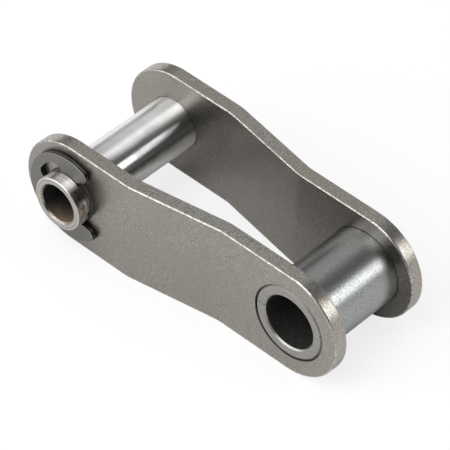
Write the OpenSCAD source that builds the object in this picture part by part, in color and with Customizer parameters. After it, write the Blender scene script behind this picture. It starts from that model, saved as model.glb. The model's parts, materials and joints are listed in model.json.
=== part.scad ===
// Offset link of a double-pitch conveyor chain with hollow pins and no rollers.
// X runs from the hollow pin to the bush, Y along both axes, Z up.
// The origin is on the pin's axis, midway between the two side plates.
// The near side, with the retaining clip, is at negative Y.

/* [Chain] */
// Distance from the pin's axis to the bush's axis
pitch = 38.1; // [36:0.1:44]

/* [Side plates] */
// Height of a plate, which is also twice the radius of its round ends
plate_h = 17.1; // [16:0.1:20]
// Thickness of a plate
plate_t = 2.2; // [1.8:0.1:2.8]
// Clear width between the plates at the bush
bush_gap = 13.4; // [12:0.1:14.4]
// Clear width between the plates at the pin
pin_gap = 18.6; // [17.6:0.1:20]
// Distance from the pin's axis to the corner of the first bend
pin_to_bend = 10.7; // [10:0.1:12]
// Distance from the corner of the second bend to the bush's axis
bend_to_bush = 12.6; // [11:0.1:13]
// Radius of both bends at the middle of the plate's thickness
bend_r = 8; // [4:0.5:12]
// Rounding of the plate's outer edges
edge_r = 0.25; // [0.1:0.05:0.4]
// Thinning of the plate's metal on every side in the two bends
bend_thin = 0.01; // [0.005:0.005:0.02]

/* [Bush] */
// Outside diameter of the bush, and of its holes in both plates
bush_od = 11.91; // [11.4:0.01:12.6]
// Running clearance all round between a pin of this chain and the bush
bush_play = 0.06; // [0.02:0.01:0.1]
// Chamfer of the bush's outer edges, which shows as a ring in each plate
bush_lead = 0.34; // [0.1:0.02:0.4]
// Chamfer at both ends of the bush's bore
bush_bore_lead = 0.25; // [0.1:0.05:0.4]
// Width of the seam where the two edges of the curled strip meet
seam_w = 0.1; // [0.05:0.01:0.2]
// Direction of the seam around the bush, from +X towards +Z
seam_angle = 175; // [90:5:270]

/* [Hollow pin] */
// Outside diameter of the pin
pin_od = 8.34; // [7.8:0.01:8.8]
// Bore of the pin
pin_id = 6; // [5:0.1:6.1]
// Length of pin that stands out of the near plate
pin_near_out = 2.8; // [2.2:0.02:3.4]
// Length of pin that stands out of the far plate
pin_far_out = 0.6; // [0.5:0.05:2]
// Chamfer of the pin's outer edges
pin_lead = 0.1; // [0.05:0.05:0.4]
// Chamfer at both ends of the pin's bore
pin_bore_lead = 0.25; // [0.1:0.05:0.4]
// Slip clearance all round between the pin and its hole in the near plate
pin_slip = 0.03; // [0.01:0.01:0.1]

/* [Retaining clip] */
// Thickness of the clip
clip_t = 0.7; // [0.5:0.05:0.9]
// Outside diameter of the clip
clip_od = 14.2; // [13.8:0.1:15]
// Diameter of the groove's floor in the pin
groove_d = 7; // [6.7:0.05:7.4]
// Width of pin left between the near plate and the groove
groove_land = 0.1; // [0.05:0.05:0.2]
// Clearance between the clip and the groove's wall beside the near plate
clip_back_play = 0.04; // [0.02:0.01:0.1]
// Clearance between the clip and the groove's wall beside the pin's near end
clip_front_play = 0.06; // [0.02:0.01:0.2]
// Clearance all round between the clip's three prongs and the groove's floor
clip_grip_play = 0.03; // [0.01:0.01:0.1]
// Diameter of the two relief slots' outer curve
relief_d = 11.2; // [10.4:0.1:11.6]
// Depth to which the relief slots cut inside the prongs' circle, which blunts the prongs' corners
relief_into = 0.3; // [0.2:0.05:0.5]
// Angle at the clip's back from its middle line to a relief slot
back_prong_angle = 18; // [14:1:24]
// Angle from the clip's middle line at the mouth to a relief slot
front_prong_angle = 98; // [90:1:104]
// Angle from the middle line of the mouth to the centre of a rounded tip
tip_angle = 57; // [55:0.5:62]
// Radius of the two rounded tips beside the mouth
tip_r = 1; // [0.8:0.05:1.1]
// Slope of the mouth's two edges to its middle line
mouth_slope = 23; // [20:1:30]
// Turn of the mouth's middle line from +X towards +Z
mouth_turn = 8; // [-180:1:180]

/* [Hidden] */
$fn = 96;
// Angle by which a bend runs into each straight length
bend_overlap = 1;
// Length of a mouth edge from its tip inwards, enough to reach the groove's floor
mouth_reach = 3;
plate_r = plate_h / 2;
bush_id = pin_od + 2 * bush_play;
plate_shift = (pin_gap - bush_gap) / 2;
bend_run = pitch - pin_to_bend - bend_to_bush;
bend_angle = atan(plate_shift / bend_run);
bend_tangent = bend_r * tan(bend_angle / 2);
slope_len = bend_run / cos(bend_angle) - 2 * bend_tangent;
bend_1_x = pin_to_bend - bend_tangent;
bend_2_x = pitch - bend_to_bush + bend_tangent;
plate_y = -pin_gap / 2 - plate_t / 2;
near_face = -pin_gap / 2 - plate_t;
far_face = pin_gap / 2 + plate_t;
bush_end = bush_gap / 2 + plate_t;
pin_near_end = near_face - pin_near_out;
pin_far_end = far_face + pin_far_out;
groove_in = near_face - groove_land;
groove_out = groove_in - clip_back_play - clip_t - clip_front_play;
clip_back = groove_in - clip_back_play;
clip_r = clip_od / 2;
prong_r = groove_d / 2 + clip_grip_play;
relief_r = (relief_d / 2 - prong_r + relief_into) / 2;
relief_mid = relief_d / 2 - relief_r;
relief_end_angle = asin(relief_r / relief_mid);
relief_from = front_prong_angle + relief_end_angle;
relief_to = 180 - back_prong_angle - relief_end_angle;
tip_c = clip_r - tip_r;

// Cross-section of a plate with rounded edges, thickness along x and height along y
module plate_section(thickness = plate_t, height = plate_h) {
    square([thickness - 2 * edge_r, height], center = true);
    square([thickness, height - 2 * edge_r], center = true);
    for (sx = [-1, 1], sy = [-1, 1])
        translate([sx * (thickness / 2 - edge_r), sy * (height / 2 - edge_r)])
            circle(edge_r);
}

// Straight length of plate from the origin along X
module plate_bar(length) {
    rotate([90, 0, 90])
        linear_extrude(length)
            plate_section();
}

// Bend of the plate about a Z axis at the origin, from angle 0, run a little into both straight lengths
module plate_bend() {
    rotate([0, 0, -bend_overlap])
        rotate_extrude(angle = bend_angle + 2 * bend_overlap)
            translate([bend_r, 0])
                plate_section(plate_t - 2 * bend_thin, plate_h - 2 * bend_thin);
}

// Half round end of the plate on the side of negative X
module plate_end() {
    rotate([90, 0, 0])
        rotate([0, 0, 90])
            rotate_extrude(angle = 180)
                intersection() {
                    rotate(90)
                        plate_section();
                    translate([0, -plate_t])
                        square([plate_h, 2 * plate_t]);
                }
}

// Near plate without holes, cranked towards the middle of the chain at the bush
module plate_blank() {
    translate([0, plate_y, 0]) {
        plate_end();
        plate_bar(bend_1_x);
        translate([bend_1_x, bend_r, 0])
            rotate([0, 0, -90])
                plate_bend();
        translate([bend_1_x + bend_r * sin(bend_angle), bend_r * (1 - cos(bend_angle)), 0])
            rotate([0, 0, bend_angle])
                plate_bar(slope_len);
        translate([bend_2_x, plate_shift - bend_r, 0])
            rotate([0, 0, 90])
                plate_bend();
        translate([bend_2_x, plate_shift, 0])
            plate_bar(pitch - bend_2_x);
        translate([pitch, plate_shift, 0])
            rotate([0, 0, 180])
                plate_end();
    }
}

// Near plate with its bush hole and a pin hole of the given diameter
module drilled_plate(pin_hole) {
    difference() {
        plate_blank();
        translate([0, plate_y, 0])
            rotate([90, 0, 0])
                cylinder(h = 3 * plate_t, d = pin_hole, center = true);
        translate([pitch, plate_y + plate_shift, 0])
            rotate([90, 0, 0])
                cylinder(h = 3 * plate_t, d = bush_od, center = true);
    }
}

module near_plate() {
    color([0.60, 0.59, 0.56])
        drilled_plate(pin_od + 2 * pin_slip);
}

module far_plate() {
    color([0.60, 0.59, 0.56])
        mirror([0, 1, 0])
            drilled_plate(pin_od);
}

// Curled bush pressed into both plates, with its ends level with their outer faces
module bushing() {
    color([0.66, 0.67, 0.69])
        translate([pitch, 0, 0])
            difference() {
                rotate([-90, 0, 0])
                    rotate_extrude()
                        polygon([
                            [bush_id / 2, bush_bore_lead - bush_end],
                            [bush_id / 2 + bush_bore_lead, -bush_end],
                            [bush_od / 2 - bush_lead, -bush_end],
                            [bush_od / 2, bush_lead - bush_end],
                            [bush_od / 2, bush_end - bush_lead],
                            [bush_od / 2 - bush_lead, bush_end],
                            [bush_id / 2 + bush_bore_lead, bush_end],
                            [bush_id / 2, bush_end - bush_bore_lead]
                        ]);
                rotate([0, -seam_angle, 0])
                    translate([0, -2 * bush_end, -seam_w / 2])
                        cube([bush_od, 4 * bush_end, seam_w]);
            }
}

// Tube driven into the far plate, with the clip's groove beside the near plate
module hollow_pin() {
    color([0.74, 0.74, 0.74])
        rotate([-90, 0, 0])
            rotate_extrude()
                polygon([
                    [pin_id / 2, pin_near_end + pin_bore_lead],
                    [pin_id / 2 + pin_bore_lead, pin_near_end],
                    [pin_od / 2 - pin_lead, pin_near_end],
                    [pin_od / 2, pin_near_end + pin_lead],
                    [pin_od / 2, groove_out],
                    [groove_d / 2, groove_out],
                    [groove_d / 2, groove_in],
                    [pin_od / 2, groove_in],
                    [pin_od / 2, pin_far_end - pin_lead],
                    [pin_od / 2 - pin_lead, pin_far_end],
                    [pin_id / 2 + pin_bore_lead, pin_far_end],
                    [pin_id / 2, pin_far_end - pin_bore_lead]
                ]);
}

// One of the two mouth edges, as points from inside the pin to beyond the clip, above the middle line
function mouth_edge() = let (
    tip = [tip_c * cos(tip_angle), tip_c * sin(tip_angle)],
    touch = tip + tip_r * [sin(mouth_slope), -cos(mouth_slope)],
    inner = touch - mouth_reach * [cos(mouth_slope), sin(mouth_slope)]
) [inner, touch, tip, 2 * tip];

// Relief slot above the middle line, round at both ends
module relief_slot() {
    for (a = [relief_from, relief_to])
        rotate(a)
            translate([relief_mid, 0])
                circle(relief_r);
    intersection() {
        difference() {
            circle(relief_mid + relief_r);
            circle(relief_mid - relief_r);
        }
        polygon([
            [0, 0],
            clip_od * [cos(relief_from), sin(relief_from)],
            clip_od * [cos(relief_to), sin(relief_to)]
        ]);
    }
}

// Outline of the clip with its mouth towards +x
module clip_outline() {
    upper = mouth_edge();
    lower = [for (i = [len(upper) - 1:-1:0]) [upper[i][0], -upper[i][1]]];
    difference() {
        union() {
            difference() {
                circle(clip_r);
                polygon(concat(upper, [[2 * clip_od, 0]], lower));
            }
            for (s = [-1, 1])
                rotate(s * tip_angle)
                    translate([tip_c, 0])
                        circle(tip_r);
        }
        circle(prong_r);
        relief_slot();
        mirror([0, 1])
            relief_slot();
    }
}

module retaining_clip() {
    color([0.52, 0.51, 0.49])
        translate([0, clip_back, 0])
            rotate([90, 0, 0])
                linear_extrude(clip_t)
                    rotate(mouth_turn)
                        clip_outline();
}

near_plate();
far_plate();
bushing();
hollow_pin();
retaining_clip();
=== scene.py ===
"""Offset link of a hollow-pin conveyor chain: cranked plates, curled bush, hollow pin and its clip.

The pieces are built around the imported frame: X from the pin to the bush, Y along both axes, Z up.
The object's sizes are in millimetres, and each piece is brought to metres when it is made.
Angles are in degrees where nothing else is said.
"""
import json
import math

import bpy
from mathutils import Matrix, Vector
from mathutils.geometry import delaunay_2d_cdt


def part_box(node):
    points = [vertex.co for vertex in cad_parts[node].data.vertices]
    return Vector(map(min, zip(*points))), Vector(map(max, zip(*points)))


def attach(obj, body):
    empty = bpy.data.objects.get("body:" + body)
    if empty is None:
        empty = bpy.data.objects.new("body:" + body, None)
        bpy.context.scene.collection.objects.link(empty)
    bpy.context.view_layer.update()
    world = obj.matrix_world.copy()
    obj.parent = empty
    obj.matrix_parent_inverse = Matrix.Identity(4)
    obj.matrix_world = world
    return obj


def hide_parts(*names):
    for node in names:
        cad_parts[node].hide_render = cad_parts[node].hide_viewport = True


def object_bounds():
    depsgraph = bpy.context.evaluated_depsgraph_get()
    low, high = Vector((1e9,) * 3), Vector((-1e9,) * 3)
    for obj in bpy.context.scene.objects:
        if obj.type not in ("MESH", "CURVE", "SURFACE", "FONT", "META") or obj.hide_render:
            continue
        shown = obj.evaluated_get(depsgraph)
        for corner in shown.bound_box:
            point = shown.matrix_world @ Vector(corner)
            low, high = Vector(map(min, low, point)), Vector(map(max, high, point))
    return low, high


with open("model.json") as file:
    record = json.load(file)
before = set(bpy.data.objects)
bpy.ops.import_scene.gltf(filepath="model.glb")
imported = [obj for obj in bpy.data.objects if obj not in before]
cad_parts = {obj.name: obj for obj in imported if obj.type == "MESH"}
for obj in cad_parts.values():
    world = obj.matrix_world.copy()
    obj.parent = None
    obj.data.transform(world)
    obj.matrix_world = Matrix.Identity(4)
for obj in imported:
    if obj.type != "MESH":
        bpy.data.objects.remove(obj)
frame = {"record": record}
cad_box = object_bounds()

MM = 0.001


def node_box(node):
    """Lowest and highest corner of a CAD node in millimetres."""
    low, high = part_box(node)
    return low / MM, high / MM


# Sizes that the frame gives
plate_low, plate_high = node_box("near_plate")
bush_low, bush_high = node_box("bushing")
pin_low, pin_high = node_box("hollow_pin")
clip_low, clip_high = node_box("retaining_clip")
mounts = {mount["name"]: mount for mount in frame["record"]["mounts"]}
PITCH = mounts["bush_bore"]["pos_m"][0] / MM
BUSH_BORE_R = mounts["bush_bore"]["dims"]["r_mm"]
PIN_BORE_R = mounts["pin_bore"]["dims"]["r_mm"]
PLATE_R = plate_high.z
BUSH_R = bush_high.z
PIN_R = pin_high.z

# Side plates. A bend's radius is that of the plate's middle, and its place is where the straight
# lengths on either side of it would meet
PLATE_T = 2.2
EDGE_R = 0.25
BEND_R = 8.0
PIN_TO_BEND = 10.7
BEND_TO_BUSH = 12.6
# Clearance of the pin in the near plate, and the rounding of the holes' edges
PIN_SLIP = 0.03
HOLE_EDGE_R = 0.1
# How far the crank carries the plate sideways, and where the plate's middle is beside the pin
PLATE_SHIFT = plate_high.y - plate_low.y - PLATE_T
PLATE_Y = plate_low.y + PLATE_T / 2

# Bush. A lead is the width of a chamfer
BUSH_LEAD = 0.34
BUSH_BORE_LEAD = 0.25
BUSH_CORNER_R = 0.08
SEAM_W = 0.1
SEAM_ANGLE = 175.0

# Hollow pin. The land is what is left of the pin between the groove and the near plate
PIN_LEAD = 0.1
PIN_BORE_LEAD = 0.25
PIN_CORNER_R = 0.06
GROOVE_R = 3.5
GROOVE_LAND = 0.1
CLIP_FRONT_PLAY = 0.06
GROOVE_IN = plate_low.y - GROOVE_LAND
GROOVE_OUT = clip_low.y - CLIP_FRONT_PLAY

# Retaining clip. A relief is the curved slot between two prongs, and runs a little into their
# circle. The mouth's slope is that of its edges, and its turn that of the clip at rest
CLIP_R = 7.1
CLIP_EDGE_R = 0.05
CLIP_CORNER_CUT = 0.25
PRONG_PLAY = 0.03
PRONG_R = GROOVE_R + PRONG_PLAY
RELIEF_OUT_R = 5.6
RELIEF_INTO = 0.3
BACK_PRONG_ANGLE = 18.0
FRONT_PRONG_ANGLE = 98.0
TIP_ANGLE = 57.0
TIP_R = 1.0
MOUTH_SLOPE = 23.0
MOUTH_TURN = 8.0

# Fineness of the meshes
EDGE_STEPS = 4
CORNER_STEPS = 4
BLUNT_STEPS = 8
ROUND_STEPS = 64
BEND_STEPS = 10
FLAT_STEPS = 4
SLOPE_STEPS = 5
LATHE_STEPS = 192
TIP_STEPS = 20
CLIP_BACK_STEPS = 80
PRONG_STEPS = 16
RELIEF_STEPS = 24

# Turns, in radians, below which a profile's corner is straight and above which the clip's is sharp
STRAIGHT_TURN = 0.001
SHARP_TURN = 0.5
# Parts of the edge beside a corner, one of which its rounding may take
EDGE_PARTS = 2.2
# Filling that keeps the triangles inside the loops, and the distance within which points are one
FILL_INSIDE = 1
FILL_TOLERANCE = 1e-6

# Kinds of face, which are also the order of a piece's materials. A recess is the pin's groove or
# the bush's chamfer
FACE, CORNER, SIDE, HOLE = range(4)
OUTSIDE, ENDS, BORE, RECESS = range(4)

# Colours of the steel
PLATE_COLOUR = (0.276, 0.263, 0.239)
EDGE_COLOUR = (0.326, 0.316, 0.288)
CORNER_COLOUR = (0.42, 0.41, 0.39)
BUSH_COLOUR = (0.303, 0.315, 0.313)
BUSH_END_COLOUR = (0.276, 0.273, 0.260)
PIN_COLOUR = (0.700, 0.700, 0.695)
PIN_END_COLOUR = (0.432, 0.416, 0.378)
PIN_CHAMFER_COLOUR = (0.215, 0.200, 0.170)
PIN_STAIN_COLOUR = (0.300, 0.262, 0.225)
# Pin bore: oily brown painted light low behind the near mouth, near-black painted shade elsewhere
PIN_OIL_LIT_COLOUR = (0.240, 0.164, 0.116)
PIN_BORE_SHADE_COLOUR = (0.030, 0.030, 0.032)
CLIP_COLOUR = (0.167, 0.164, 0.153)
# The clip side's near-black is painted shade; its burnished band is the die's
CLIP_SIDE_SHADE_COLOUR = (0.030, 0.029, 0.027)
CLIP_BURNISH_COLOUR = (0.160, 0.156, 0.146)
# Bores, holes and recesses: painted shade, near-black with a brown tint, lighter in chamfer and groove
BORE_SHADE_COLOUR = (0.045, 0.042, 0.039)
BUSH_CHAMFER_SHADE = 4.0
PIN_GROOVE_SHADE = 2.5
CLIP_CORNER_SHADE = 1.3

# Spans of a noise over which a surface changes, from gradual to abrupt
WIDE = (0.3, 0.7)
MIDDLE = (0.35, 0.65)
NARROW = (0.38, 0.62)
SHORT = (0.4, 0.6)
# How far a noise's shift moves it along each axis
SHIFT_SHARES = (1.0, 0.7, 1.3)

# Tumbled steel: warm clouds and dark pits
CLOUD_SIZE = 6.0
CLOUD_SHARE = 0.5
CLOUD_TINT = (0.95, 0.91, 0.89)
PIT_SIZE = 0.7
PIT_SPAN = (0.76, 0.84)
PIT_SHADE = 0.35

# Plate's rubbed corner: shade where it isn't rubbed, and roughness from there to where it is
UNWORN_SHADE = 0.8
WEAR_ROUGHNESS = (0.36, 0.25)

# Pin's polish: shares between which its roughness varies, lines round it, marks on the near end
POLISH_SPREAD = (0.85, 1.2)
ANISOTROPY = 1.0
QUARTER_TURN = 0.25
LINE_SPAN = (0.5, 0.75)
LINE_SHARE = 0.6
LINE_SHADE = 0.82
MARK_SPAN = (0.42, 0.62)
MARK_SHARE = 0.6
MARK_SHADE = 0.8
NEAR_END_BLEND = 0.1

# Oily stain on the pin's near end: its side, where it begins and is full, and a painted glint in it
STAIN_ANGLE = 5.0
STAIN_FROM = 2.4
STAIN_FULL = 2.8
STAIN_RAGGED = 0.4
GLINT_SPOT_ANGLE = 27.0
GLINT_SPOT_R = 0.55
GLINT_SPOT_EDGE = 0.7
GLINT_SPOT_STAIN = 0.15

# Pin's ends: width of the fine rings, share of the chamfer's width up to which it shows in full,
# how ragged its edge is, and roughness from the ring to the chamfer
RING_SIZE = 0.3
CHAMFER_FULL = 0.8
CHAMFER_RAGGED = 0.04
PIN_END_ROUGHNESS = (0.32, 0.24)

# Bores and recesses, and the oily brown of the pin's bore, which is painted light low behind the
# near mouth: its depth, its side and the shares of the bore's radius at which it begins and is full
BORE_ROUGHNESS = (0.42, 0.6)
OIL_ROUGHNESS = (0.36, 0.55)
OIL_LIT_DEPTH = 3.4
OIL_LIT_ANGLE = -60.0
OIL_LIT_FROM = 0.1
OIL_LIT_FULL = 0.8

# Clip's side: roughness, and the burnished band's limits and blurred edge as shares of the height
SIDE_ROUGHNESS = (0.32, 0.48)
BURNISH_FROM = 0.45
BURNISH_TO = 0.62
BURNISH_EDGE = 0.05

# Floor, in metres, and the share of plain white that each kind of ray sees in place of the lit paper
FLOOR_HALF = 3.0
FLOOR_ALBEDO = 0.95
FLOOR_WHITE = (
    ("Is Camera Ray", 0.78),
    ("Is Glossy Ray", 0.03),
    ("Is Transmission Ray", 0.03),
)

# Camera
VIEW_AZIMUTH = 40.657
VIEW_ELEVATION = 44.156
VIEW_ROLL = 2.800
VIEW_DISTANCE = 467.437
VIEW_TARGET = (20.769, -2.696, 2.208)
LENS = 273.4
SENSOR = 36.0
NEAR_LIMIT = 0.01

# Lamps, in metres: name, direction from the pin's middle towards the lamp, direction of its width,
# width, height, radiance
LAMP_DISTANCE = 0.70
LAMPS = (
    ("lamp_right_back", (0.75, 0.45, 0.475), (-0.12, 0.48, -0.11), 0.36, 0.27, 4.4),
    ("lamp_overhead", (-0.01, -0.55, 0.83), (1.0, 0.0, 0.0), 0.38, 0.45, 3.9),
    ("lamp_front_left", (-0.42, -0.84, 0.34), (0.89, -0.45, 0.0), 0.95, 0.46, 3.0),
)

# Height of the sky's direction and its brightness there
SKY = (
    (0.0, 2.60),
    (0.15, 1.05),
    (0.34, 0.46),
    (0.50, 0.66),
    (0.73, 0.74),
    (0.86, 0.76),
    (1.0, 1.60),
)
# Direction of a dim side of the studio, cosines within which it is dim and beyond which it isn't,
# brightness
DIM_SIDES = (
    ((0.42, 0.545, 0.726), 0.93, 0.78, 0.2),
    ((0.66, -0.56, 0.50), 0.88, 0.55, 0.05),
    ((0.84, 0.54, 0.03), 0.93, 0.80, 0.40),
)
# Dim gap along Y at the left of the studio: its angle over the floor, angles on either side of that
# within which it is dim and beyond which it isn't, brightness
GAP_ANGLE = 25.0
GAP_DIM = 5.0
GAP_END = 12.0
GAP_LEVEL = 0.0


def polar(radius, degrees, centre=(0.0, 0.0)):
    """Point at an angle on a circle."""
    angle = math.radians(degrees)
    return centre[0] + radius * math.cos(angle), centre[1] + radius * math.sin(angle)


def spread(first, last, steps):
    """Evenly spaced numbers from first to last."""
    return [first + (last - first) * i / steps for i in range(steps + 1)]


def arc(radius, first, last, steps, centre=(0.0, 0.0)):
    """Points along an arc."""
    return [polar(radius, a, centre) for a in spread(first, last, steps)]


# Meshes

def make_piece(name, verts, faces, kinds, materials):
    """Mesh object in metres from (place, normal) points in millimetres, shaded with those normals.

    Each face turns the way that its points' normals do.
    """
    places = [Vector(place) * MM for place, normal in verts]
    turned, shading = [], []
    for face in faces:
        across = (places[face[1]] - places[face[0]]).cross(places[face[2]] - places[face[0]])
        outward = sum((Vector(verts[v][1]) for v in face), Vector())
        ordered = list(face) if across.dot(outward) >= 0 else list(reversed(face))
        turned.append(ordered)
        shading += [Vector(verts[v][1]).normalized() for v in ordered]
    mesh = bpy.data.meshes.new(name)
    mesh.from_pydata(places, [], turned)
    for material in materials:
        mesh.materials.append(material)
    mesh.polygons.foreach_set("material_index", kinds)
    mesh.polygons.foreach_set("use_smooth", [True] * len(faces))
    mesh.normals_split_custom_set(shading)
    piece = bpy.data.objects.new(name, mesh)
    bpy.context.scene.collection.objects.link(piece)
    return piece


def edge_profile(half, radius):
    """Inset, height and tilt of the rings that carry a slab's side from one face to the other.

    The tilt is the normal's share along the outline's own normal and its share along the height.
    """
    upper = []
    for degrees in spread(0.0, 90.0, EDGE_STEPS):
        out, up = math.sin(math.radians(degrees)), math.cos(math.radians(degrees))
        upper.append((radius * (1 - out), half - radius * (1 - up), out, up))
    return upper + [(inset, -height, out, -up) for inset, height, out, up in reversed(upper)]


def rounded_slab(loops, half, cross_links, is_metal):
    """Slab with rounded edges: (place, normal) points in (u, v, w), faces and the kind of each face.

    A loop is flat points, their outward normals, the edge's radius, and the kinds of edge and side.
    Triangles fill the two faces where is_metal says so, and cross_links are pairs of the first
    loop's points that a triangle's edge has to join.
    """
    verts, faces, kinds = [], [], []
    flat, borders, tops, bottoms = [], list(cross_links), [], []
    for points, normals, radius, edge_kind, side_kind in loops:
        count = len(points)
        starts = []
        for inset, height, out, up in edge_profile(half, radius):
            starts.append(len(verts))
            for (u, v), (out_u, out_v) in zip(points, normals):
                place = (u - out_u * inset, v - out_v * inset, height)
                verts.append((place, (out_u * out, out_v * out, up)))
        for level, (a, b) in enumerate(zip(starts, starts[1:])):
            kind = side_kind if level == EDGE_STEPS else edge_kind
            for i in range(count):
                j = (i + 1) % count
                faces.append((a + i, a + j, b + j, b + i))
                kinds.append(kind)
        first = len(flat)
        flat += [Vector(verts[starts[0] + i][0][:2]) for i in range(count)]
        borders += [(first + i, first + (i + 1) % count) for i in range(count)]
        tops += range(starts[0], starts[0] + count)
        bottoms += range(starts[-1], starts[-1] + count)
    filled = delaunay_2d_cdt(flat, borders, [], FILL_INSIDE, FILL_TOLERANCE)
    triangles, origins = filled[2], filled[3]
    for triangle in triangles:
        corners = [origins[v][0] for v in triangle]
        middle = sum((flat[c] for c in corners), Vector((0.0, 0.0))) / len(corners)
        if is_metal(middle):
            faces.append([tops[c] for c in corners])
            faces.append([bottoms[c] for c in reversed(corners)])
            kinds += [FACE, FACE]
    return verts, faces, kinds


def rounded_profile(corners, radius):
    """Closed profile with each corner replaced by a short curve.

    It comes as pairs of point and outward normal. The corners run with the metal on their left.
    """
    points = []
    count = len(corners)
    for i, corner in enumerate(corners):
        here = Vector(corner)
        to_last = Vector(corners[i - 1]) - here
        to_next = Vector(corners[(i + 1) % count]) - here
        half_turn = (math.pi - to_last.angle(to_next)) / 2
        if half_turn < STRAIGHT_TURN:
            points.append((here, Vector((to_next.y, -to_next.x)).normalized()))
            continue
        room = min(to_last.length, to_next.length) / EDGE_PARTS
        cut = min(radius * math.tan(half_turn), room)
        start = here + to_last.normalized() * cut
        end = here + to_next.normalized() * cut
        for t in spread(0.0, 1.0, CORNER_STEPS):
            along = (here - start) * (1 - t) + (end - here) * t
            place = start * (1 - t) ** 2 + here * 2 * t * (1 - t) + end * t ** 2
            points.append((place, Vector((along.y, -along.x)).normalized()))
    return points


def lathe(profile, axis_x, kind_of, first=0.0, sweep=360.0):
    """Profile of (radius, y) turned about an axis along Y, with flat ends where it doesn't close."""
    closed = sweep >= 360.0
    rows = LATHE_STEPS if closed else LATHE_STEPS + 1
    count = len(profile)
    verts, faces, kinds = [], [], []
    for row in range(rows):
        angle = first + sweep * row / LATHE_STEPS
        for (radius, y), (out, along) in profile:
            x, z = polar(radius, angle, (axis_x, 0.0))
            out_x, out_z = polar(out, angle)
            verts.append(((x, y, z), (out_x, along, out_z)))
    for row in range(LATHE_STEPS):
        a, b = row * count, (row + 1) % rows * count
        for i in range(count):
            j = (i + 1) % count
            faces.append((a + i, a + j, b + j, b + i))
            kinds.append(kind_of((profile[i][0] + profile[j][0]) / 2))
    if not closed:
        for row, turn in ((0, -90.0), (rows - 1, 90.0)):
            out_x, out_z = polar(1.0, first + sweep * row / LATHE_STEPS + turn)
            start = len(verts)
            verts += [(verts[row * count + i][0], (out_x, 0.0, out_z)) for i in range(count)]
            faces.append(list(range(start, start + count)))
            kinds.append(ENDS)
    return verts, faces, kinds


# Side plates

bend_run = PITCH - PIN_TO_BEND - BEND_TO_BUSH
bend_angle = math.atan2(PLATE_SHIFT, bend_run)
bend_tangent = BEND_R * math.tan(bend_angle / 2)
bend_length = BEND_R * bend_angle
slope_length = bend_run / math.cos(bend_angle) - 2 * bend_tangent
BEND_1 = PIN_TO_BEND - bend_tangent
BEND_1_END = BEND_1 + bend_length
BEND_2 = BEND_1_END + slope_length
BEND_2_END = BEND_2 + bend_length
PATH_END = BEND_2_END + BEND_TO_BUSH - bend_tangent


def plate_path(s):
    """Place and direction, in radians, of the plate's middle at a length s from the pin's axis."""
    if s <= BEND_1:
        return s, 0.0, 0.0
    turn = min(s - BEND_1, bend_length) / BEND_R
    x = BEND_1 + BEND_R * math.sin(turn)
    y = BEND_R * (1 - math.cos(turn))
    if s <= BEND_1_END:
        return x, y, turn
    slope = min(s - BEND_1_END, slope_length)
    x += slope * math.cos(bend_angle)
    y += slope * math.sin(bend_angle)
    if s <= BEND_2:
        return x, y, bend_angle
    turn = bend_angle - min(s - BEND_2, bend_length) / BEND_R
    x += BEND_R * (math.sin(bend_angle) - math.sin(turn))
    y += BEND_R * (math.cos(turn) - math.cos(bend_angle))
    return x + max(s - BEND_2_END, 0.0), y, turn


def plate_stations():
    """Lengths along the plate at which its outline has a point above and below."""
    straight = spread(0.0, BEND_1, FLAT_STEPS)
    first_bend = spread(BEND_1, BEND_1_END, BEND_STEPS)[1:-1]
    slope = spread(BEND_1_END, BEND_2, SLOPE_STEPS)
    second_bend = spread(BEND_2, BEND_2_END, BEND_STEPS)[1:-1]
    last = spread(BEND_2_END, PATH_END, FLAT_STEPS)
    return straight + first_bend + slope + second_bend + last


def hole_loop(s, radius):
    """Round hole in the plate, with normals towards its middle."""
    angles = [360.0 * i / LATHE_STEPS for i in range(LATHE_STEPS)]
    normals = [polar(-1.0, a) for a in angles]
    # The hole's wall and rounded edge are near-black: painted shade round the pin and the bush
    return [polar(radius, a, (s, 0.0)) for a in angles], normals, HOLE_EDGE_R, HOLE, HOLE


def plate_outline():
    """Outline of the unrolled plate, and the pairs of points across it from bend to bend."""
    stations = plate_stations()
    turns = [(s, -90.0) for s in stations]
    turns += [(PATH_END, a) for a in spread(-90.0, 90.0, ROUND_STEPS)[1:-1]]
    turns += [(s, 90.0) for s in reversed(stations)]
    turns += [(0.0, a) for a in spread(90.0, 270.0, ROUND_STEPS)[1:-1]]
    points = [polar(PLATE_R, a, (s, 0.0)) for s, a in turns]
    normals = [polar(1.0, a) for s, a in turns]
    top_end = 2 * len(stations) + ROUND_STEPS - 2
    links = [(i, top_end - i) for i, s in enumerate(stations) if BEND_1 <= s <= BEND_2_END]
    return (points, normals, EDGE_R, CORNER, SIDE), links


def make_plate(name, side, pin_hole_r, materials):
    """Cranked side plate. Side is 1 for the near plate and -1 for its mirror image."""
    outline, links = plate_outline()
    holes = [(0.0, pin_hole_r), (PATH_END, BUSH_R)]
    loops = [outline] + [hole_loop(s, r) for s, r in holes]

    def is_metal(point):
        return all((point - Vector((s, 0.0))).length > r + HOLE_EDGE_R for s, r in holes)

    flat, faces, kinds = rounded_slab(loops, PLATE_T / 2, links, is_metal)
    verts = []
    for (s, z, w), (along, up, out) in flat:
        x, y, turn = plate_path(s)
        ahead, aside = math.cos(turn), math.sin(turn)
        place = (x - w * aside, side * (PLATE_Y + y + w * ahead), z)
        normal = (along * ahead - out * aside, side * (along * aside + out * ahead), up)
        verts.append((place, normal))
    return make_piece(name, verts, faces, kinds, materials)


# Bush and pin

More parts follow.
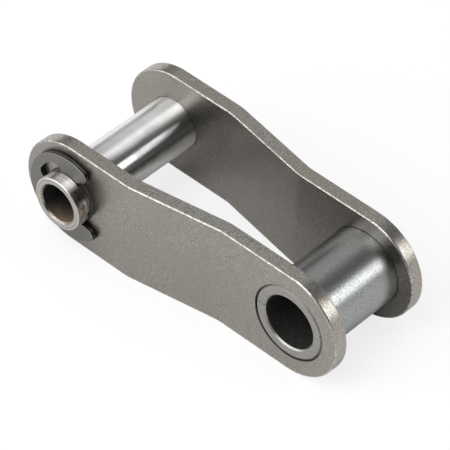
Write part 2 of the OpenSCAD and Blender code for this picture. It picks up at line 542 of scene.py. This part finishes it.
def make_bush(name, materials):
    """Bush curled from strip, with a narrow seam along one side."""
    corners = [
        (BUSH_BORE_R, bush_low.y + BUSH_BORE_LEAD),
        (BUSH_BORE_R + BUSH_BORE_LEAD, bush_low.y),
        (BUSH_R - BUSH_LEAD, bush_low.y),
        (BUSH_R, bush_low.y + BUSH_LEAD),
        (BUSH_R, bush_high.y - BUSH_LEAD),
        (BUSH_R - BUSH_LEAD, bush_high.y),
        (BUSH_BORE_R + BUSH_BORE_LEAD, bush_high.y),
        (BUSH_BORE_R, bush_high.y - BUSH_BORE_LEAD),
    ]
    bore_limit = BUSH_BORE_R + BUSH_BORE_LEAD / 4
    outside_limit = BUSH_R - BUSH_CORNER_R / 2
    seam = math.degrees(SEAM_W / BUSH_R)

    def kind_of(middle):
        radius = middle[0]
        if radius < bore_limit:
            return BORE
        if radius > outside_limit:
            return OUTSIDE
        return ENDS if radius < BUSH_R - BUSH_LEAD else RECESS

    profile = rounded_profile(corners, BUSH_CORNER_R)
    turned = lathe(profile, PITCH, kind_of, SEAM_ANGLE + seam / 2, 360.0 - seam)
    return make_piece(name, *turned, materials)


def make_pin(name, materials):
    """Tube with chamfered ends and a groove for the clip beside the near plate."""
    corners = [
        (PIN_BORE_R, pin_low.y + PIN_BORE_LEAD),
        (PIN_BORE_R + PIN_BORE_LEAD, pin_low.y),
        (PIN_R - PIN_LEAD, pin_low.y),
        (PIN_R, pin_low.y + PIN_LEAD),
        (PIN_R, GROOVE_OUT),
        (GROOVE_R, GROOVE_OUT),
        (GROOVE_R, GROOVE_IN),
        (PIN_R, GROOVE_IN),
        (PIN_R, plate_low.y + PLATE_T),
        (PIN_R, pin_high.y - PIN_LEAD),
        (PIN_R - PIN_LEAD, pin_high.y),
        (PIN_BORE_R + PIN_BORE_LEAD, pin_high.y),
        (PIN_BORE_R, pin_high.y - PIN_BORE_LEAD),
    ]
    bore_limit = PIN_BORE_R + PIN_BORE_LEAD / 4
    outside_limit = PIN_R - PIN_CORNER_R / 2

    def kind_of(middle):
        radius, y = middle
        if radius < bore_limit:
            return BORE
        if GROOVE_IN < y < plate_low.y + PLATE_T:
            return RECESS
        if radius > outside_limit:
            return OUTSIDE
        beside_groove = GROOVE_OUT - PIN_CORNER_R < y < GROOVE_IN + PIN_CORNER_R
        return RECESS if beside_groove and radius > GROOVE_R + PIN_CORNER_R else ENDS

    turned = lathe(rounded_profile(corners, PIN_CORNER_R), 0.0, kind_of)
    return make_piece(name, *turned, materials)


# Retaining clip

def mouth_corner():
    """Centre of the upper tip's rounding, and the point where the mouth's edge meets the prong."""
    tip = Vector(polar(CLIP_R - TIP_R, TIP_ANGLE))
    touch = tip + Vector(polar(TIP_R, MOUTH_SLOPE - 90.0))
    inward = -Vector(polar(1.0, MOUTH_SLOPE))
    along = touch.dot(inward)
    reach = -along - math.sqrt(along ** 2 - touch.length_squared + PRONG_R ** 2)
    return tip, touch + inward * reach


def clip_half():
    """Upper half of the clip's outline: its outer side and its inner side, both from the mouth."""
    relief_r = (RELIEF_OUT_R - PRONG_R + RELIEF_INTO) / 2
    relief_mid = RELIEF_OUT_R - relief_r
    relief_turn = math.degrees(math.asin(relief_r / relief_mid))
    relief_from = FRONT_PRONG_ANGLE + relief_turn
    relief_to = 180.0 - BACK_PRONG_ANGLE - relief_turn
    first_end, last_end = polar(relief_mid, relief_from), polar(relief_mid, relief_to)
    # The prong's corner, where a relief's round end crosses the prongs' circle
    corner_x = (relief_mid ** 2 + PRONG_R ** 2 - relief_r ** 2) / (2 * relief_mid)
    corner_y = math.sqrt(PRONG_R ** 2 - corner_x ** 2)
    prong_turn = math.degrees(math.atan2(corner_y, corner_x))
    point_turn = math.degrees(math.atan2(corner_y, relief_mid - corner_x))
    tip, mouth = mouth_corner()
    mouth_angle = math.degrees(math.atan2(mouth.y, mouth.x))
    outer = [tuple(mouth)]
    outer += arc(TIP_R, MOUTH_SLOPE - 90.0, TIP_ANGLE, TIP_STEPS, tip)
    outer += arc(CLIP_R, TIP_ANGLE, 180.0, CLIP_BACK_STEPS)[1:]
    inner = arc(PRONG_R, mouth_angle, relief_from - prong_turn, PRONG_STEPS)[1:]
    turns = (relief_from + 180.0 + point_turn, relief_from + 360.0)
    inner += arc(relief_r, *turns, PRONG_STEPS, first_end)[1:]
    inner += arc(RELIEF_OUT_R, relief_from, relief_to, RELIEF_STEPS)[1:-1]
    turns = (relief_to, relief_to + 180.0 - point_turn)
    inner += arc(relief_r, *turns, PRONG_STEPS, last_end)
    inner += arc(PRONG_R, relief_to + prong_turn, 180.0, PRONG_STEPS)[1:]
    return outer, inner


def blunted(points, cut):
    """Closed outline with each sharp corner replaced by an arc that begins and ends a cut from it."""
    places = [Vector(p) for p in points]
    count = len(places)

    def turn_at(i):
        return (places[i] - places[i - 1]).angle(places[(i + 1) % count] - places[i])

    def direction(i, step):
        """From a corner towards the first point that lies beyond the cut."""
        far = i + step
        while (places[far % count] - places[i]).length <= cut:
            far += step
        return (places[far % count] - places[i]).normalized()

    corners = [i for i in range(count) if turn_at(i) > SHARP_TURN]
    kept = []
    for i, place in enumerate(places):
        if i in corners:
            start, end = direction(i, -1), direction(i, 1)
            middle = (start + end).normalized()
            share = middle.dot(start)
            centre = place + middle * cut / share
            radius = cut * math.sqrt(1 - share ** 2) / share
            for t in spread(0.0, 1.0, BLUNT_STEPS):
                out = (place - centre) + (start * (1 - t) + end * t) * cut
                kept.append(tuple(centre + out.normalized() * radius))
        elif all((place - places[j]).length > cut for j in corners):
            kept.append(tuple(place))
    return kept


def outward_normals(points):
    """Mean of the two edges' outward directions at each point of a loop that runs anticlockwise."""
    normals = []
    count = len(points)
    for i in range(count):
        before = (Vector(points[i]) - Vector(points[i - 1])).normalized()
        after = (Vector(points[(i + 1) % count]) - Vector(points[i])).normalized()
        along = (before + after).normalized()
        normals.append((along.y, -along.x))
    return normals


def make_clip(name, materials):
    """E-shaped clip cut from strip, with three prongs on the groove's floor."""
    def mirrored(points):
        return [(u, -v) for u, v in points]

    outer, inner = clip_half()
    points = outer + mirrored(reversed(outer[:-1])) + mirrored(inner) + list(reversed(inner[:-1]))
    points = blunted(points, CLIP_CORNER_CUT)
    half = (clip_high.y - clip_low.y) / 2
    loop = (points, outward_normals(points), CLIP_EDGE_R, CORNER, SIDE)
    flat, faces, kinds = rounded_slab([loop], half, [], lambda point: True)
    turn = Matrix.Rotation(math.radians(MOUTH_TURN), 2)
    verts = []
    for (u, v, w), (out_u, out_v, out_w) in flat:
        x, z = turn @ Vector((u, v))
        out_x, out_z = turn @ Vector((out_u, out_v))
        verts.append(((x, (clip_low.y + clip_high.y) / 2 + w, z), (out_x, out_w, out_z)))
    return make_piece(name, verts, faces, kinds, materials)


# Materials

class NodeTree:
    """Nodes of a material or the world, with helpers that add to them."""

    # A Mix node's two colours and its result, whose names stand for other sockets too
    MIX_A, MIX_B, MIX_RESULT = 6, 7, 2

    def __init__(self, owner):
        owner.use_nodes = True
        self.nodes = owner.node_tree.nodes
        self.links = owner.node_tree.links

    def fill(self, socket, value):
        """Gives a socket another node's output, a colour or a constant."""
        if isinstance(value, bpy.types.NodeSocket):
            self.links.new(value, socket)
        elif socket.type == "RGBA":
            socket.default_value = (*value, 1.0)
        else:
            socket.default_value = value

    def add(self, kind, inputs, **settings):
        """New node with its settings, and its inputs filled."""
        node = self.nodes.new("ShaderNode" + kind)
        for setting, value in settings.items():
            setattr(node, setting, value)
        for socket, value in inputs.items():
            self.fill(node.inputs[socket], value)
        return node

    def calc(self, operation, *values):
        """Sum, product or the like of numbers and other nodes' outputs."""
        return self.add("Math", dict(enumerate(values)), operation=operation).outputs["Value"]

    def vector(self, operation, *values):
        """Node that combines vectors."""
        return self.add("VectorMath", dict(enumerate(values)), operation=operation)

    def remap(self, value, span, to=(0.0, 1.0), kind="LINEAR"):
        """Value carried from one range to another, and held at its ends."""
        inputs = {
            "Value": value,
            "From Min": span[0],
            "From Max": span[1],
            "To Min": to[0],
            "To Max": to[1],
        }
        return self.add("MapRange", inputs, interpolation_type=kind).outputs["Result"]

    def mix(self, factor, a, b):
        """Colour between a and b, each a colour or another node's output."""
        inputs = {"Factor": factor, self.MIX_A: a, self.MIX_B: b}
        return self.add("Mix", inputs, data_type="RGBA").outputs[self.MIX_RESULT]


class Surface(NodeTree):
    """Procedural material: a metal shader with textures measured in millimetres."""

    def __init__(self, name, metallic=1.0):
        self.material = bpy.data.materials.new(name)
        super().__init__(self.material)
        self.shader = self.nodes["Principled BSDF"]
        self.set("Metallic", metallic)
        self.place = self.add("TexCoord", {}).outputs["Object"]

    def set(self, socket, value):
        """Fills one of the shader's own sockets."""
        self.fill(self.shader.inputs[socket], value)

    def noise(self, size, detail=2.0, stretch=(1.0, 1.0, 1.0), shift=0.0):
        """Noise whose features are about size millimetres across, drawn out by stretch.

        A shift takes it from another place, so that no two noises are alike.
        """
        scale = [1.0 / (size * MM * k) for k in stretch]
        away = [shift * share for share in SHIFT_SHARES]
        mapping = self.add("Mapping", {"Vector": self.place, "Scale": scale, "Location": away})
        inputs = {"Vector": mapping.outputs["Vector"], "Scale": 1.0, "Detail": detail}
        return self.add("TexNoise", inputs).outputs["Fac"]

    def rings(self, size, radius):
        """Noise in rings about size millimetres wide, over a radius."""
        inputs = {"W": radius, "Scale": 1.0 / size}
        return self.add("TexNoise", inputs, noise_dimensions="1D").outputs["Fac"]

    def along(self, direction):
        """Distance in millimetres from the origin along a direction."""
        per_mm = [share / MM for share in direction]
        return self.vector("DOT_PRODUCT", self.place, per_mm).outputs["Value"]

    def distance(self, point):
        """Distance in millimetres from a point."""
        centre = [place * MM for place in point]
        metres = self.vector("DISTANCE", self.place, centre).outputs["Value"]
        return self.calc("DIVIDE", metres, MM)

    def radius(self):
        """Distance in millimetres from the Y axis."""
        flat = self.vector("MULTIPLY", self.place, (1.0 / MM, 0.0, 1.0 / MM))
        return self.vector("LENGTH", flat.outputs["Vector"]).outputs["Value"]

    def shades(self, factor, span, colour, dark, light):
        """Colour from a darker to a lighter shade of itself, as a factor goes over its span."""
        return self.mix(self.remap(factor, span), scaled(colour, dark), scaled(colour, light))

    def finish(self, colour, roughness, height, depth):
        """Connects colour and roughness, and a bump whose height spans depth millimetres."""
        bump = self.add("Bump", {"Height": height, "Strength": 1.0, "Distance": depth * MM})
        self.set("Base Color", colour)
        self.set("Roughness", roughness)
        self.set("Normal", bump.outputs["Normal"])
        return self.material


def scaled(colour, factor):
    """Colour made lighter or darker."""
    return tuple(channel * factor for channel in colour)


def grained_steel(name, colour, contrast, grain, roughness, depth, shift, tint=1.0, pitting=0.35):
    """Tumbled steel: fine grain, wide faint clouds of a warmer tint and a few small dark pits.

    The roughness goes from its first to its second number as the grain's colour gets lighter.
    """
    surface = Surface(name)
    fine = surface.noise(grain, detail=3.0, shift=shift)
    clouds = surface.noise(CLOUD_SIZE, shift=shift + 3.0)
    pits = surface.noise(PIT_SIZE, detail=1.0, shift=shift + 9.0)
    base = surface.shades(fine, MIDDLE, colour, dark=1 - contrast, light=1 + contrast)
    red, green, blue = (channel * share for channel, share in zip(colour, CLOUD_TINT))
    cloud_part = surface.remap(clouds, MIDDLE, (0.0, CLOUD_SHARE))
    base = surface.mix(cloud_part, base, (red * tint, green, blue / tint))
    pit_part = surface.remap(pits, PIT_SPAN, (0.0, pitting))
    base = surface.mix(pit_part, base, scaled(colour, PIT_SHADE))
    return surface.finish(base, surface.remap(fine, WIDE, roughness), fine, depth)


def worn_corner_steel(name, colour, bright, shift):
    """Rounded edge of a plate, rubbed bright in short broken lengths."""
    surface = Surface(name)
    fine = surface.noise(size=0.3, shift=shift)
    wear = surface.noise(size=0.5, detail=3.0, shift=shift + 5.0)
    base = surface.mix(surface.remap(wear, NARROW), scaled(colour, UNWORN_SHADE), bright)
    return surface.finish(base, surface.remap(wear, NARROW, WEAR_ROUGHNESS), fine, depth=0.004)


def near_end_share(surface):
    """1 on the pin's near end, up to the groove, and 0 on the rest of it."""
    nearness = surface.along((0.0, -1.0, 0.0))
    return surface.remap(nearness, (-GROOVE_OUT - NEAR_END_BLEND, -GROOVE_OUT))


def pin_stain_and_glint(surface, shift):
    """Share of an oily stain on one side of the pin's near end, with a ragged edge and a painted
    glint.
    """
    out, up = polar(1.0, STAIN_ANGLE)
    streaks = surface.noise(size=0.3, detail=3.0, stretch=(1.0, 4.0, 1.0), shift=shift)
    ragged = surface.remap(streaks, WIDE, (-STAIN_RAGGED, STAIN_RAGGED))
    side = surface.calc("ADD", surface.along((out, 0.0, up)), ragged)
    stain = surface.remap(side, (STAIN_FROM, STAIN_FULL))
    stain = surface.calc("MULTIPLY", stain, near_end_share(surface))
    # Near the groove's edge the stain thins out and the bright polish shows: painted highlight
    x, z = polar(PIN_R, GLINT_SPOT_ANGLE)
    flecks = surface.noise(size=0.4, detail=3.0, shift=shift + 2.0)
    ragged = surface.remap(flecks, WIDE, (-GLINT_SPOT_R / 2, GLINT_SPOT_R / 2))
    glint_distance = surface.calc("ADD", surface.distance((x, GROOVE_OUT - GLINT_SPOT_R / 2, z)), ragged)
    glint_spared = surface.remap(glint_distance, (GLINT_SPOT_R * GLINT_SPOT_EDGE, GLINT_SPOT_R), (GLINT_SPOT_STAIN, 1.0))
    return surface.calc("MULTIPLY", stain, glint_spared)


def polished_steel(name, colour, roughness, shift):
    """Ground and polished steel, with very fine lines round the axis along Y.

    The lines draw reflections out along the axis. The near end has coarser marks, a stain and a
    painted glint.
    """
    surface = Surface(name)
    surface.set("Anisotropic", ANISOTROPY)
    surface.set("Anisotropic Rotation", QUARTER_TURN)
    around = surface.add("Tangent", {}, direction_type="RADIAL", axis="Y")
    surface.set("Tangent", around.outputs["Tangent"])
    lines = surface.noise(size=0.06, stretch=(60.0, 1.0, 60.0), shift=shift)
    wide_lines = surface.noise(size=0.25, detail=3.0, stretch=(40.0, 1.0, 40.0), shift=shift + 2.0)
    clouds = surface.noise(size=2.5, shift=shift + 4.0)
    marks = surface.noise(size=0.10, stretch=(80.0, 1.0, 80.0), shift=shift + 6.0)
    blotches = surface.noise(size=0.8, detail=3.0, stretch=(1.0, 0.6, 1.0), shift=shift + 10.0)
    base = surface.shades(lines, WIDE, colour, dark=0.95, light=1.05)
    line_part = surface.remap(wide_lines, LINE_SPAN, (0.0, LINE_SHARE))
    base = surface.mix(line_part, base, scaled(colour, LINE_SHADE))
    stained = surface.shades(blotches, NARROW, PIN_STAIN_COLOUR, dark=0.5, light=1.4)
    base = surface.mix(pin_stain_and_glint(surface, shift + 8.0), base, stained)
    mark_part = surface.remap(marks, MARK_SPAN, (0.0, MARK_SHARE))
    mark_part = surface.calc("MULTIPLY", mark_part, near_end_share(surface))
    base = surface.mix(mark_part, base, scaled(PIN_STAIN_COLOUR, MARK_SHADE))
    rough = surface.remap(clouds, WIDE, scaled(POLISH_SPREAD, roughness))
    return surface.finish(base, rough, lines, depth=0.0004)


def faced_end_steel(name, colour, chamfer, shift):
    """Faced ends of the pin: fine rings round its axis, and a smooth, oily chamfer round the bore."""
    surface = Surface(name)
    fine = surface.noise(size=0.3, detail=3.0, shift=shift)
    radius = surface.radius()
    base = surface.shades(surface.rings(RING_SIZE, radius), SHORT, colour, dark=0.7, light=1.1)
    ragged = surface.remap(fine, WIDE, (-CHAMFER_RAGGED, CHAMFER_RAGGED))
    limits = (PIN_BORE_R + PIN_BORE_LEAD * CHAMFER_FULL, PIN_BORE_R + PIN_BORE_LEAD)
    in_chamfer = surface.remap(surface.calc("ADD", radius, ragged), limits, (1.0, 0.0))
    patches = surface.shades(fine, MIDDLE, chamfer, dark=0.75, light=1.25)
    base = surface.mix(in_chamfer, base, patches)
    rough = surface.remap(in_chamfer, (0.0, 1.0), PIN_END_ROUGHNESS)
    return surface.finish(base, rough, fine, depth=0.006)


def dark_shaded_bore_steel(name, colour, shift):
    """Scaled, oily steel of bores, holes and recesses with a brown tint; its near-black is painted
    shade.
    """
    surface = Surface(name, metallic=0.6)
    fine = surface.noise(size=0.4, detail=3.0, shift=shift)
    base = surface.shades(fine, WIDE, colour, dark=0.7, light=1.4)
    return surface.finish(base, surface.remap(fine, WIDE, BORE_ROUGHNESS), fine, depth=0.01)


def oily_lit_bore_steel(name, lit_oil, shaded_deep, shift):
    """Pin's bore: oily brown painted light low behind the near mouth, near-black painted shade
    elsewhere.
    """
    surface = Surface(name, metallic=0.3)
    fine = surface.noise(size=0.4, detail=3.0, shift=shift)
    base = surface.shades(fine, WIDE, lit_oil, dark=0.7, light=1.3)
    inner, down = polar(1.0, OIL_LIT_ANGLE)
    depth = surface.along((inner, 0.0, down))
    low = surface.remap(depth, (PIN_BORE_R * OIL_LIT_FROM, PIN_BORE_R * OIL_LIT_FULL))
    behind = surface.along((0.0, 1.0, 0.0))
    near = surface.remap(behind, (pin_low.y, pin_low.y + OIL_LIT_DEPTH), (1.0, 0.0))
    base = surface.mix(surface.calc("MULTIPLY", low, near), shaded_deep, base)
    return surface.finish(base, surface.remap(fine, WIDE, OIL_ROUGHNESS), fine, depth=0.01)


def blanked_shaded_side_steel(name, colour, burnish, shift):
    """Clip's side: near-black as painted shade, rough, with a narrow band that the blanking die
    burnished.
    """
    surface = Surface(name)
    fine = surface.noise(size=0.2, detail=3.0, shift=shift)
    waves = surface.noise(size=0.5, shift=shift + 5.0)
    base = surface.shades(fine, WIDE, colour, dark=0.7, light=1.3)
    height = clip_high.y - clip_low.y
    edge = height * BURNISH_EDGE
    ragged = surface.remap(waves, WIDE, (-edge, edge))
    place = surface.calc("ADD", surface.along((0.0, 1.0, 0.0)), ragged)
    low, high = (clip_low.y + height * share for share in (BURNISH_FROM, BURNISH_TO))
    above = surface.remap(place, (low - edge, low))
    below = surface.remap(place, (high, high + edge), (1.0, 0.0))
    base = surface.mix(surface.calc("MULTIPLY", above, below), base, burnish)
    return surface.finish(base, surface.remap(fine, WIDE, SIDE_ROUGHNESS), fine, depth=0.01)


def floor_material():
    """Pale paper that keeps the object's shadow, lifted towards white for the camera."""
    material = bpy.data.materials.new("floor_white")
    tree = NodeTree(material)
    tree.nodes.remove(tree.nodes["Principled BSDF"])
    path = tree.add("LightPath", {})
    white_share = 0.0
    for ray, weight in FLOOR_WHITE:
        white_share = tree.calc("MULTIPLY_ADD", path.outputs[ray], weight, white_share)
    paper = tree.add("BsdfDiffuse", {"Color": (FLOOR_ALBEDO, FLOOR_ALBEDO, FLOOR_ALBEDO)})
    white = tree.add("Emission", {"Strength": 1.0})
    shaders = {1: paper.outputs["BSDF"], 2: white.outputs["Emission"]}
    mixed = tree.add("MixShader", {"Fac": white_share, **shaders})
    tree.fill(tree.nodes["Material Output"].inputs["Surface"], mixed.outputs["Shader"])
    return material


# Stage

def make_floor():
    """Floor under the lowest point of the object."""
    mesh = bpy.data.meshes.new("floor")
    height = cad_box[0][2]
    corners = [(-1, -1), (1, -1), (1, 1), (-1, 1)]
    places = [(u * FLOOR_HALF, v * FLOOR_HALF, height) for u, v in corners]
    mesh.from_pydata(places, [], [(0, 1, 2, 3)])
    mesh.materials.append(floor_material())
    floor = bpy.data.objects.new("floor", mesh)
    bpy.context.scene.collection.objects.link(floor)


def place_on_axes(obj, right, up, back, place):
    """Adds a camera or lamp, which looks against its back axis, at a place in metres."""
    placed = Matrix((right, up, back)).transposed().to_4x4()
    placed.translation = place
    obj.matrix_world = placed
    bpy.context.scene.collection.objects.link(obj)


def make_camera():
    """Camera at the photograph's angle, as fitted to it."""
    azimuth, elevation = math.radians(VIEW_AZIMUTH), math.radians(VIEW_ELEVATION)
    roll = math.radians(VIEW_ROLL)
    level = Vector((math.cos(azimuth), math.sin(azimuth), 0.0))
    flat_back = Vector((math.sin(azimuth), -math.cos(azimuth), 0.0))
    back = flat_back * math.cos(elevation) + Vector((0.0, 0.0, math.sin(elevation)))
    above = back.cross(level)
    right = level * math.cos(roll) + above * math.sin(roll)
    up = above * math.cos(roll) - level * math.sin(roll)
    data = bpy.data.cameras.new("camera")
    data.lens = LENS
    data.sensor_width = SENSOR
    data.clip_start = NEAR_LIMIT
    camera = bpy.data.objects.new("camera", data)
    place_on_axes(camera, right, up, back, (Vector(VIEW_TARGET) + back * VIEW_DISTANCE) * MM)
    bpy.context.scene.camera = camera


def make_lamps():
    """Soft boxes that light the object and show in its metal, but not to the camera."""
    for name, direction, width_axis, width, height, radiance in LAMPS:
        data = bpy.data.lights.new(name, "AREA")
        data.shape = "RECTANGLE"
        data.size = width
        data.size_y = height
        data.energy = radiance * math.pi * width * height
        lamp = bpy.data.objects.new(name, data)
        lamp.visible_camera = False
        back = Vector(direction).normalized()
        across = (Vector(width_axis) - back * back.dot(Vector(width_axis))).normalized()
        place_on_axes(lamp, across, back.cross(across), back, back * LAMP_DISTANCE)


def left_gap(tree, x, z):
    """Brightness that falls to the gap's level round its angle over the floor at the left."""
    angle = tree.calc("ARCTAN2", z, tree.calc("MULTIPLY", x, -1.0))
    apart = tree.calc("ABSOLUTE", tree.calc("SUBTRACT", angle, math.radians(GAP_ANGLE)))
    span = (math.radians(GAP_DIM), math.radians(GAP_END))
    return tree.remap(apart, span, (GAP_LEVEL, 1.0), "SMOOTHSTEP")


def make_world():
    """Soft studio: bright at the horizon and overhead, with dim sides and a dim gap at the left."""
    world = bpy.data.worlds.new("studio")
    bpy.context.scene.world = world
    tree = NodeTree(world)
    direction = tree.add("TexCoord", {}).outputs["Generated"]
    split = tree.add("SeparateXYZ", {"Vector": direction})
    ramp = tree.add("ValToRGB", {"Fac": split.outputs["Z"]})
    stops = ramp.color_ramp.elements
    for i, (height, level) in enumerate(SKY):
        stop = stops[i] if i < len(stops) else stops.new(height)
        stop.position = height
        stop.color = (level, level, level, 1.0)
    strength = left_gap(tree, split.outputs["X"], split.outputs["Z"])
    for side, near, far, level in DIM_SIDES:
        nearness = tree.vector("DOT_PRODUCT", direction, side).outputs["Value"]
        dim = tree.remap(nearness, (far, near), (1.0, level), "SMOOTHSTEP")
        strength = tree.calc("MULTIPLY", strength, dim)
    background = tree.nodes["Background"]
    tree.fill(background.inputs["Color"], ramp.outputs["Color"])
    tree.fill(background.inputs["Strength"], strength)


# Pieces and their materials, which come in the order of the kinds of face

def plate_materials():
    """Face, rounded corner, edge and holes of a plate; the holes' near-black is painted shade."""
    return [
        grained_steel("plate_face_steel", PLATE_COLOUR, contrast=0.30, grain=0.17,
                      roughness=(0.28, 0.38), depth=0.004, shift=0.0),
        worn_corner_steel("plate_corner_steel", EDGE_COLOUR, CORNER_COLOUR, shift=20.0),
        grained_steel("plate_edge_steel", EDGE_COLOUR, contrast=0.45, grain=0.18,
                      roughness=(0.39, 0.29), depth=0.007, shift=40.0, tint=1.06),
        dark_shaded_bore_steel("plate_hole_steel", BORE_SHADE_COLOUR, shift=50.0),
    ]


def bush_materials():
    """Outside, ends, bore and chamfers of the bush; bore and chamfers are dark with painted shade."""
    chamfer_colour = scaled(BORE_SHADE_COLOUR, BUSH_CHAMFER_SHADE)
    return [
        grained_steel("bush_steel", BUSH_COLOUR, contrast=0.26, grain=0.22,
                      roughness=(0.36, 0.28), depth=0.002, shift=60.0, pitting=0.05),
        grained_steel("bush_end_steel", BUSH_END_COLOUR, contrast=0.14, grain=0.25,
                      roughness=(0.31, 0.41), depth=0.006, shift=80.0),
        dark_shaded_bore_steel("bush_bore_steel", BORE_SHADE_COLOUR, shift=100.0),
        dark_shaded_bore_steel("bush_chamfer_steel", chamfer_colour, shift=110.0),
    ]


def pin_materials():
    """Outside, ends, bore and groove of the pin; groove and bore carry painted shade, the bore also
    light.
    """
    groove_colour = scaled(BORE_SHADE_COLOUR, PIN_GROOVE_SHADE)
    return [
        polished_steel("pin_steel", PIN_COLOUR, roughness=0.35, shift=120.0),
        faced_end_steel("pin_end_steel", PIN_END_COLOUR, PIN_CHAMFER_COLOUR, shift=140.0),
        oily_lit_bore_steel("pin_bore_steel", PIN_OIL_LIT_COLOUR, PIN_BORE_SHADE_COLOUR, shift=160.0),
        dark_shaded_bore_steel("pin_groove_steel", groove_colour, shift=170.0),
    ]


def clip_materials():
    """Face, rounded corner and side of the clip; the side's near-black is painted shade."""
    corner_colour = scaled(CLIP_COLOUR, CLIP_CORNER_SHADE)
    return [
        grained_steel("clip_face_steel", CLIP_COLOUR, contrast=0.13, grain=0.4,
                      roughness=(0.37, 0.47), depth=0.006, shift=180.0),
        grained_steel("clip_corner_steel", corner_colour, contrast=0.1, grain=0.3,
                      roughness=(0.30, 0.40), depth=0.006, shift=200.0),
        blanked_shaded_side_steel("clip_side_steel", CLIP_SIDE_SHADE_COLOUR, CLIP_BURNISH_COLOUR, shift=220.0),
    ]


def make_pieces():
    """Builds the pieces in place of their CAD nodes, on the bodies that carry them."""
    plate = plate_materials()
    near_plate = make_plate("near_side_plate", side=1, pin_hole_r=PIN_R + PIN_SLIP, materials=plate)
    far_plate = make_plate("far_side_plate", side=-1, pin_hole_r=PIN_R, materials=plate)
    bush = make_bush("curled_bush", bush_materials())
    pin = make_pin("hollow_pin_tube", pin_materials())
    clip = make_clip("e_clip", clip_materials())
    made = (
        (near_plate, "near_plate", "link", "plate_steel"),
        (far_plate, "far_plate", "link", "plate_steel"),
        (bush, "bushing", "link", "bush_steel"),
        (pin, "hollow_pin", "link", "pin_steel"),
        (clip, "retaining_clip", "clip", "clip_steel"),
    )
    for piece, node, body, slot in made:
        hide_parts(node)
        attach(piece, body)


bpy.context.scene.view_settings.view_transform = "Standard"
make_floor()
make_camera()
make_lamps()
make_world()
make_pieces()
